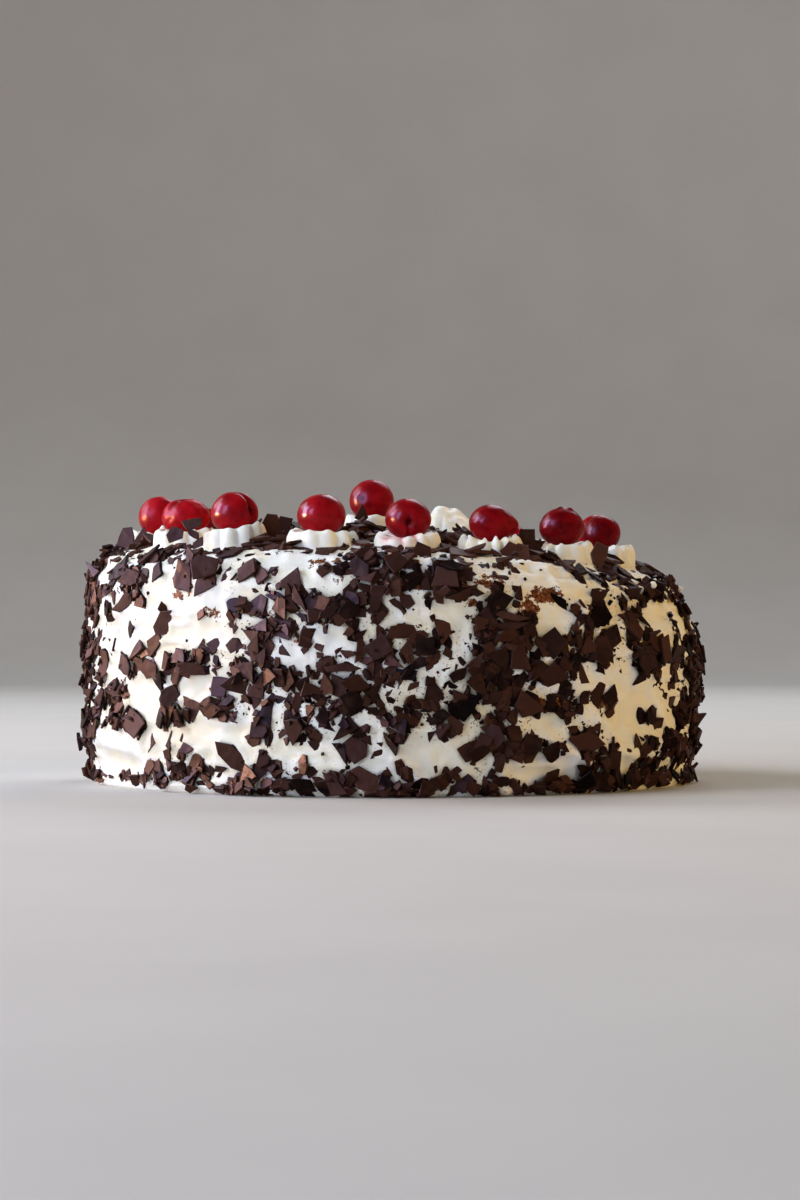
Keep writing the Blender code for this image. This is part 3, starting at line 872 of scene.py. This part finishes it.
def top_flakes(sheet, material):
    """The chips on the top: strewn over it, deepest in the middle, and the chosen ones that stand."""
    # Painted light: the top's chips take the lighter part of the colour range, as the top catches more light
    # than the side.
    made = Flakes(sheet, 61, (0.3, 1.0))
    draw = made.draw
    places = draw.uniform(-120, 120, (TOP_THROWS, 2)) * MM
    radius = np.hypot(*places.T)
    chance = 0.55 + 0.45 * soft_noise(*places.T, 18 * MM, 15 * MM, 62)
    chance = np.maximum(chance, 1.0 - radius / (95 * MM)) * (radius < 120 * MM)
    for at in places[draw.uniform(size=len(places)) < chance]:
        length = (10.0 if draw.uniform() < 0.65 else 5.0) * math.exp(0.27 * draw.normal()) * MM
        lean = math.radians(abs(draw.normal()) * 13 if draw.uniform() < 0.85 else draw.uniform(30, 60))
        count = draw.choice([3, 4, 5, 6], p=[0.26, 0.44, 0.2, 0.1])
        width = length * draw.uniform(0.45, 0.85)
        deepest = (5.5 if np.hypot(*at) < 70 * MM else 3.2) * MM
        made.lay(at, length, width, int(count), draw.uniform(0, TURN), lean, deepest)
    for x, y, height, length, width, *angles in STANDING_CHIPS:
        made.stand((x * MM, y * MM), height * MM, length * MM, width * MM, *np.radians(angles))
    return made


def crumbs(name, sheet, at, sizes, material, seed):
    """Small broken lumps: eight-sided, each point pulled in or out by its own share, turned at random and
    resting on the sheet."""
    draw = np.random.default_rng(seed)
    count = len(at)
    axes = np.array([(1, 0, 0), (0, 1, 0), (-1, 0, 0), (0, -1, 0), (0, 0, 1), (0, 0, -1)], float)
    turns = np.linalg.qr(draw.normal(size=(count, 3, 3)))[0]
    turns *= np.sign(np.linalg.det(turns))[:, None, None]
    lumps = axes[None] * draw.uniform(0.6, 1.25, (count, 6, 1)) @ turns * (sizes[:, None, None] / 2)
    origin, along, rise, out = sheet.place(at[:, 0], at[:, 1])
    cream = sheet.read(sheet.bare, at[:, 0], at[:, 1])
    rest = np.minimum(sheet.read(sheet.height, at[:, 0], at[:, 1]), cream + 2 * MM)
    lumps[..., 2] += (rest + 0.2 * sizes)[:, None]
    points = origin[:, None] + lumps @ np.stack([along, rise, out], axis=1)
    points[..., 2] += np.maximum(0.1 * MM - points[..., 2].min(axis=1), 0)[:, None]
    sides = [(0, 1, 4), (1, 2, 4), (2, 3, 4), (3, 0, 4), (1, 0, 5), (2, 1, 5), (3, 2, 5), (0, 3, 5)]
    faces = (np.arange(count)[:, None, None] * 6 + np.array(sides)[None]).reshape(-1, 3)
    made = new_piece(name, points.reshape(-1, 3), faces.tolist(), material, smooth=False)
    add_values(made, "batch_and_light", np.repeat(draw.uniform(0, 0.6, count), 6))
    add_values(made, "shine", np.repeat(draw.uniform(0, 1, count), 6))
    return made


def side_crumb_places(count, seed, near):
    """Places on the side for crumbs, kept where the given chance is high."""
    draw = np.random.default_rng(seed)
    across = draw.uniform(-AROUND / 2, AROUND / 2, count * 6)
    up = draw.uniform(0.5, 106, count * 6) * MM
    kept = draw.uniform(size=count * 6) < near(across, up)
    return np.column_stack([across, up])[kept][:count]


def cherry(name, node, features, seed, material):
    """A stoned cherry: a ball with its box's width and height, thinned by bell curves. The stone's hole is
    one of the angle from its middle, and a crease is one of the distance from a plane through the hole. Both
    are also darkened as painted shade. Slow waves make it uneven, and each has its own darkness of red,
    partly painted light and shade, and its own dullness for the skin."""
    low, high = (np.array(corner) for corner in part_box(node))
    centre, half = (low + high) / 2, (high - low) / 2
    polar = np.linspace(0, math.pi, CHERRY_ROWS + 2)
    around = np.arange(CHERRY_COLUMNS) / CHERRY_COLUMNS * TURN
    turn, tilt = np.meshgrid(around, polar)
    out = np.stack([np.sin(tilt) * np.sin(turn), -np.sin(tilt) * np.cos(turn), np.cos(tilt)], axis=-1)
    hole = direction(features["hole"])
    away = np.arccos(np.clip(out @ hole, -1, 1))
    hollow_and_shade = bell(away, HOLE_WIDTH)
    size = 1.0 + 0.018 * wobble(out, 1.7, seed) + 0.006 * wobble(out, 0.5, seed + 1)
    ball = (out * size[..., None]).reshape(-1, 3)
    least, most = ball.min(axis=0), ball.max(axis=0)
    size -= features.get("hole_depth", HOLE_DEPTH) * hollow_and_shade
    for heading, depth, width, length in features.get("creases", ()):
        side = np.cross(hole, direction(heading))
        side /= np.linalg.norm(side)
        towards = smooth_step(0.5 + 1.5 * (out @ direction(heading) - hole @ direction(heading) * 0.2))
        groove = bell(out @ side, width) * bell(away, length) * towards
        size -= depth * groove
        hollow_and_shade = np.maximum(hollow_and_shade, 0.5 * groove * depth / 0.15)
    for heading, rise, spread in features.get("bumps", ()):
        size += rise * bell(np.arccos(np.clip(out @ direction(heading), -1, 1)), spread)
    if features.get("rough"):
        size += features["rough"] * wobble(out, 0.33, seed + 2)
    points = centre + (2 * (out * size[..., None] - least) / (most - least) - 1) * half
    made = wrapped_piece(name, points[0, 0], points[1:-1], points[-1, 0], material)
    # Painted shade: the depth of the hole and creases, carried to the skin's colour as darkening.
    shade = np.concatenate([[hollow_and_shade[0, 0]], hollow_and_shade[1:-1].ravel(), [hollow_and_shade[-1, 0]]])
    add_values(made, "hollow_and_shade", np.clip(shade * 0.9, 0, 1))
    # Painted light and shade for the listed cherries, whose darkness rises from left to right. The others get
    # a random darkness.
    ripe_and_shading, dull = np.random.default_rng(seed).uniform(0.2, 0.8, 2)
    add_values(made, "ripe_and_shading", np.full(len(shade), features.get("ripe_and_shading", ripe_and_shading)))
    add_values(made, "dull", np.full(len(shade), features.get("dull", dull)))
    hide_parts(node)


def cream_drops(sheet, material):
    """A few drops of cream that fell from the nozzle onto the rim: balls drawn in and out by slow waves."""
    for number, (angle, up, size) in enumerate(CREAM_DROPS, 1):
        across, up = np.array(math.radians(angle) * SIDE_RADIUS), np.array(up * MM)
        origin, _, _, out = side_place(across, up)
        polar, around = np.linspace(0, math.pi, 14), np.arange(20) / 20 * TURN
        turn, tilt = np.meshgrid(around, polar)
        way = np.stack([np.sin(tilt) * np.cos(turn), np.sin(tilt) * np.sin(turn), np.cos(tilt)], axis=-1)
        ball = way * (1.0 + 0.12 * wobble(way, 1.5, 90 + number))[..., None] * size * MM / 2
        rest = float(sheet.read(sheet.height, across, up))
        points = origin + out * (rest + 0.35 * size * MM) + ball
        made = wrapped_piece(f"cream_drop_{number}", points[0, 0], points[1:-1], points[-1, 0], material)


def direction(heading):
    """A unit vector from (degrees from the front to the right, degrees up)."""
    turn, rise = (math.radians(value) for value in heading)
    return np.array([math.sin(turn) * math.cos(rise), -math.cos(turn) * math.cos(rise), math.sin(rise)])


def bell_around(turn, middle, width):
    """A bell curve round a circle, of that width about the middle, all in radians."""
    return bell((turn - middle + math.pi) % TURN - math.pi, width)


def rosette(name, node, cherry_node, seed, features, material):
    """A star-nozzle rosette: an outline from its foot over its lip and down its dish, carried round with
    rounded ridges sqrt(cos^2 + a little), a twist, and a lip that rises in a point at each ridge. Slow waves
    let ridges fade on one side, and push the whole shape in and out as soft cream slumps."""
    draw = np.random.default_rng(seed)
    low, high = (np.array(corner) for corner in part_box(node))
    centre = (low + high) / 2
    half = (high - low)[:2].mean() / 2 * 0.96 * features.get("wide", 1.0)
    ground = float(top_height(centre[0], centre[1]))
    if cherry_node:
        cherry_low = np.array(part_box(cherry_node)[0])
        bowl = cherry_low[2] - ground + 0.4 * MM
        lip = bowl + features.get("lip", 1.9 * MM)
        outline = [
            (1.12, -1.8 * MM, 0.0), (1.06, 0.0, 0.01), (1.01, 1.2 * MM, 0.025), (0.99, 0.28 * lip, 0.045),
            (0.975, 0.48 * lip, 0.06), (0.955, 0.68 * lip, 0.065), (0.92, 0.86 * lip, 0.06),
            (0.86, lip, 0.05), (0.78, 1.02 * lip, 0.035), (0.69, 0.93 * lip, 0.02),
            (0.5, 0.5 * bowl + 0.4 * lip, 0.0), (0.25, bowl, 0.0), (0.02, bowl, 0.0),
        ]
    else:
        lip = high[2] - ground - DOLLOP_PEAK
        outline = [
            (1.12, -1.6 * MM, 0.0), (1.08, 0.2 * MM, 0.01), (1.03, 1.2 * MM, 0.02), (1.0, 0.18 * lip, 0.03),
            (0.95, 0.34 * lip, 0.03), (0.86, 0.48 * lip, 0.03), (0.74, 0.62 * lip, 0.03),
            (0.6, 0.75 * lip, 0.025), (0.46, 0.85 * lip, 0.02), (0.32, 0.93 * lip, 0.01),
            (0.19, 0.985 * lip, 0.0), (0.08, 1.0 * lip, 0.0), (0.01, 1.0 * lip, 0.0),
        ]
    knots = np.arange(len(outline))
    level = np.linspace(0, len(outline) - 1, ROSETTE_ROWS)
    share, height, depth = (smooth_between(level, knots, np.array(outline)[:, k])[:, None] for k in range(3))
    turn, row = np.meshgrid(np.arange(ROSETTE_COLUMNS) / ROSETTE_COLUMNS * TURN, level)
    ring = np.stack([np.cos(turn), np.sin(turn), 0 * turn], axis=-1)
    ridges = ROSETTE_RIDGES + int(draw.integers(-1, 2))
    phase = ridges * turn / 2 + 0.85 * wobble(ring, 1.3, seed + 3) + 0.09 * row + draw.uniform(0, TURN)
    ridge = np.sqrt(np.cos(phase) ** 2 + 0.02)
    strength = np.clip(1.1 + 0.7 * wobble(ring, 1.5, seed + 5), 0.6, 1.8)
    for heading, width in features.get("smooth", ()):
        strength = strength * (1.0 - 0.85 * bell_around(turn, math.radians(heading) - math.pi / 2, width))
    body = np.stack([np.cos(turn) * share, np.sin(turn) * share, height / half + 0 * turn], axis=-1)
    slump = 1.0 + 0.045 * wobble(body, 1.8, seed) + 0.02 * wobble(body, 0.6, seed + 1)
    ridged = 1.0 + depth * strength * (2 * ridge - 1.3)
    radius = half * share * ridged * (1 + (slump - 1) * np.minimum(1, 2 * share))
    near_lip = bell(row - LIP_KNOT, 1.5) if cherry_node else 0.0
    peaks = (1.3 + 1.0 * wobble(ring, 0.7, seed + 7)) * MM * strength * (ridge**3 - 0.4)
    peaks = peaks * features.get("teeth", 0.6) + 0.7 * MM * wobble(ring, 0.8, seed + 8)
    for heading, rise in features.get("tilt", ((180, 0.9),)):
        peaks = peaks + rise * MM * np.cos(turn - math.radians(heading) + math.pi / 2)
    tall = 1.0 + 0.12 * wobble(ring, 1.6, seed + 9)
    follow = 1.0 - smooth_step(height / (0.8 * lip))
    x = centre[0] + radius * np.cos(turn)
    y = centre[1] + radius * np.sin(turn)
    z = height * tall + near_lip * peaks
    if not cherry_node:
        off = 1.0 - np.minimum(1.0, share)
        lump = np.stack([x, y, z], axis=-1)
        aside, behind = (x - centre[0]) / half, (y - centre[1]) / half
        peak = np.exp(-(((aside + 0.36) / 0.27) ** 2) - (behind / 0.4) ** 2)
        lobe = np.exp(-(((aside - 0.3) / 0.25) ** 2) - ((behind + 0.1) / 0.4) ** 2)
        lumps = 1.1 * MM * wobble(lump, 9 * MM, 77) + 0.35 * MM * wobble(lump, 4 * MM, 78)
        z = z + DOLLOP_PEAK * peak + (1.6 * MM * lobe + lumps) * np.minimum(1, 2 * off)
    z = z + 0.25 * MM * wobble(np.stack([x, y, z], axis=-1), 4.5 * MM, seed + 11)
    z = z + ground + follow * (top_height(x, y) + top_relief(x, y) - ground)
    grid = np.stack([x, y, z], axis=-1)
    made = wrapped_piece(name, grid[0].mean(axis=0), grid, grid[-1].mean(axis=0), material)
    stain = np.zeros(turn.shape)
    for heading, strong, width in features.get("juice", ()):
        facing = math.radians(heading) - math.pi / 2
        stain += strong * bell_around(turn, facing, width) * smooth_step((row - 1.5) / 5.0) * (1.3 - ridge)
    if cherry_node:
        stain = np.maximum(stain, INSIDE_JUICE * smooth_step((row - 8.0) / 1.5))
    add_values(made, "juice", np.clip(np.concatenate([[0.0], stain.ravel(), [stain[-1].mean()]]), 0, 1))
    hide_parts(node)


def smooth_between(at, knots, values):
    """A smooth curve through the values at the knots, by cubic pieces whose slope at a knot is the mean slope
    to its neighbours."""
    slopes = np.gradient(values, knots)
    left = np.clip(np.searchsorted(knots, at, side="right") - 1, 0, len(knots) - 2)
    gap = knots[left + 1] - knots[left]
    t = (at - knots[left]) / gap
    rise = values[left + 1] - values[left]
    start, end = slopes[left] * gap, slopes[left + 1] * gap
    return values[left] + t * start + t**2 * (3 * rise - 2 * start - end) + t**3 * (start + end - 2 * rise)


CREAM_DROPS = ((88, 93, 2.8), (58.5, 91.5, 3.2), (76, 103, 2.0))  # angle in degrees, height up and size in mm

# How each cherry differs. Headings are degrees from the front to the right, and degrees up. A crease is its
# heading, depth, width and length, and a bump its heading, rise and spread.
# The first value of each listed cherry sets its red from bright to dark. It rises from the left to the right,
# as painted light and shade with the light from the left.
CHERRIES = {
    "01": {"ripe_and_shading": 0.1, "dull": 0.85, "hole": (-120, 20)},
    "02": {
        "ripe_and_shading": 0.0, "dull": 1.0, "hole": (-38, 78), "hole_depth": 0.06, "rough": 0.012,
        "creases": (((-42, 0), 0.12, 0.24, 1.4),),
    },
    "03": {
        "ripe_and_shading": 0.35, "dull": 0.3, "hole": (56, 14),
        "creases": (((40, 80), 0.2, 0.13, 1.2), ((50, -60), 0.10, 0.12, 0.7)),
    },
    "04": {"ripe_and_shading": 0.4, "dull": 0.1, "hole": (170, 30)},
    "05": {
        "ripe_and_shading": 0.6, "dull": 0.45, "hole": (2, -12), "creases": (((6, -70), 0.16, 0.12, 0.8),),
        "bumps": (((-50, 25), -0.05, 0.5),),
    },
    "06": {"ripe_and_shading": 0.72, "dull": 0.45, "hole": (160, 30), "rough": 0.008, "bumps": (((88, -4), 0.25, 0.42),)},
    "07": {
        "ripe_and_shading": 0.9, "dull": 0.5, "hole": (150, 40), "rough": 0.009,
        "bumps": (((-10, 80), 0.08, 0.15), ((60, 66), 0.1, 0.14)),
    },
    "08": {"ripe_and_shading": 0.95, "dull": 0.65, "hole": (140, 10)},
    "middle": {"ripe_and_shading": 0.45, "dull": 0.6, "hole": (-28, 4), "hole_depth": 0.04},
}

# How each rosette differs: where its ridges are smooth, how its lip stands and tilts, and where juice ran. A
# heading is in degrees from the front to the right, and a width in radians.
ROSETTES = {
    "01": {"juice": ((-20, 0.5, 0.5),)},
    "03": {"smooth": ((-60, 0.6),), "lip": 2.4 * MM, "tilt": ((75, 2.0),)},
    "04": {"smooth": ((-50, 0.7),), "tilt": ((-120, 0.8),), "wide": 1.07},
    "05": {
        "smooth": ((-50, 0.4),), "tilt": ((180, 1.9),),
        "juice": ((-25, 1.0, 0.35), (5, 0.9, 0.3), (-60, 0.4, 0.3)),
    },
    "06": {"teeth": 1.2, "lip": 1.6 * MM},
    "07": {"teeth": 1.3, "lip": 1.2 * MM, "tilt": ((180, 1.4),)},
    "08": {"teeth": 1.0, "lip": 1.4 * MM},
    "middle": {"smooth": ((0, 1.0),)},
}


def toppings(cream, skin):
    """Every rosette with its cherry."""
    labels = [f"{number:02d}" for number in range(1, 17)] + ["middle"]
    draw = np.random.default_rng(71)
    for place, label in enumerate(labels):
        some = {"hole": (draw.uniform(-180, 180), draw.uniform(-10, 60))}
        node, seed = "cherry_" + label, 10 * place
        cherry("sour_cherry_" + label, node, CHERRIES.get(label, some), 300 + seed, skin)
        features = ROSETTES.get(label, {})
        rosette("piped_rosette_" + label, "rosette_" + label, node, 500 + seed, features, cream)
    rosette("piped_rosette_bare", "rosette_bare", None, 900, {}, cream)


def shut_under_rosettes(sheet):
    """Keeps chips off the cells that a rosette stands on."""
    x, y = sheet.middles()
    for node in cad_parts:
        if node.startswith("rosette_"):
            low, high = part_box(node)
            middle, half = (low + high) / 2, (high.x - low.x) / 2
            sheet.shut |= np.hypot(x - middle.x, y - middle.y) < 0.95 * half


def place_camera():
    """A long lens far in front, a little under the height of the top, as the cake is seen."""
    data = bpy.data.cameras.new("camera")
    data.lens = 93
    data.sensor_width = 36
    made = bpy.data.objects.new("camera", data)
    made.location = (0.004, -1.401, 0.0755)
    made.rotation_euler = (math.radians(90.24), 0, 0)
    bpy.context.scene.collection.objects.link(made)
    bpy.context.scene.camera = made


# The soft boxes: place, width and height, watts, colour, whether it lights matt surfaces, and whether it is
# seen in glossy ones
LIGHTS = {
    "window": ((-1.45, -0.66, 1.15), (0.9, 1.5), 24.5, "E2ECFF", True, False),
    "window_pane": ((-1.55, -0.05, 0.62), (0.6, 1.2), 112, "D0C8FF", False, True),
    "window_front": ((-1.15, -0.97, 0.6), (0.5, 1.0), 46, "C0B4FF", False, True),
    "window_sill": ((-1.4, -0.1, 0.12), (0.45, 0.24), 115, "FFB070", False, True),
    "window_behind": ((-1.3, 0.6, 1.0), (0.8, 0.8), 17, "F0F4FF", True, True),
    "warm_fill": ((1.6, -0.3, 0.55), (0.6, 0.6), 9.3, "FFC644", True, False),
    "front_fill": ((-0.9, -1.5, 0.3), (1.2, 0.5), 9.6, "D8E6FF", True, False),
    "back_fill": ((0.5, 1.4, 1.3), (1.0, 0.8), 14, "ECF3FF", True, True),
}
LIGHT_AIM = (0, 0, 0.05)


def area_light(name, place, size, watts, colour, lights, shines):
    """A soft box that looks at the cake. It lights matt surfaces, or is seen in glossy ones, or both."""
    data = bpy.data.lights.new(name, "AREA")
    data.shape = "RECTANGLE"
    data.size, data.size_y = size
    data.energy = watts
    data.color = linear(colour)[:3]
    made = bpy.data.objects.new(name, data)
    made.location = place
    made.visible_diffuse, made.visible_glossy = lights, shines
    away = Vector(LIGHT_AIM) - Vector(place)
    made.rotation_euler = away.to_track_quat("-Z", "Y").to_euler()
    bpy.context.scene.collection.objects.link(made)


def studio():
    """A round pale sweep: a flat floor that curves up into a wall all round, and soft lights."""
    floor_radius, curve, wall = 1.9, 0.8, 3.2
    bend = np.linspace(0, math.pi / 2, 16)
    radius = np.concatenate([[0.2, 0.6, 1.2], floor_radius + curve * np.sin(bend), [floor_radius + curve]])
    height = np.concatenate([[0.0, 0.0, 0.0], curve * (1 - np.cos(bend)), [wall]])
    columns = 96
    turn = np.arange(columns) / columns * TURN
    around, line = np.meshgrid(turn, np.arange(radius.size))
    grid = np.stack([radius[line] * np.cos(around), radius[line] * np.sin(around), height[line]], axis=-1)
    points = np.concatenate([[(0.0, 0.0, 0.0)], grid.reshape(-1, 3)])
    faces = [tuple(reversed(face)) for face in wrapped_faces(radius.size, columns)[:-columns]]
    new_object("sweep", points, faces, painted_board())
    for name, (place, size, watts, colour, lights, shines) in LIGHTS.items():
        area_light(name, place, size, watts, colour, lights, shines)
    world = bpy.data.worlds.new("studio")
    world.use_nodes = True
    world.node_tree.nodes["Background"].inputs["Color"].default_value = linear("EAEBED")
    world.node_tree.nodes["Background"].inputs["Strength"].default_value = 0.07
    bpy.context.scene.world = world
    bpy.context.scene.view_settings.view_transform = "Standard"


def main():
    place_camera()
    coat_cream, piped, chocolate = spread_cream(), piped_cream(), broken_chocolate()
    sponge, skin = cake_crumb(), cherry_skin()
    side = Sheet((-AROUND / 2, 0), (AROUND / 2, SHOULDER_UP), True, side_place, side_relief)
    reach = SHOULDER_RADIUS + 2 * MM
    top = Sheet((-reach, -reach), (reach, reach), False, top_place, top_relief)
    shut_under_rosettes(top)
    on_side = side_flakes(side, chocolate)
    on_top = top_flakes(top, chocolate)
    cream_coat(coat_cream, side, top)
    for made, name in ((on_side, "chocolate_flakes_side"), (on_top, "chocolate_flakes_top")):
        made.piece(name, chocolate)
    draw = np.random.default_rng(81)
    places = side_crumb_places(1100, 82, chance_on_side)
    sizes = draw.uniform(0.9, 2.4, len(places)) * MM
    crumbs("chocolate_crumbs_side", side, places, sizes, chocolate, 83)
    spots = draw.uniform(-118, 118, (1500, 2)) * MM
    spots = spots[np.hypot(*spots.T) < 118 * MM][:420]
    sizes = draw.uniform(0.9, 2.6, len(spots)) * MM
    crumbs("chocolate_crumbs_top", top, spots, sizes, chocolate, 84)
    torn = side_crumb_places(160, 85, lambda across, up: near_patches(across, up, SPONGE_PATCHES, 1.6))
    sizes = draw.uniform(0.7, 1.9, len(torn)) * MM
    crumbs("sponge_crumbs", side, torn, sizes, sponge, 86)
    toppings(piped, skin)
    cream_drops(side, piped)
    studio()


main()
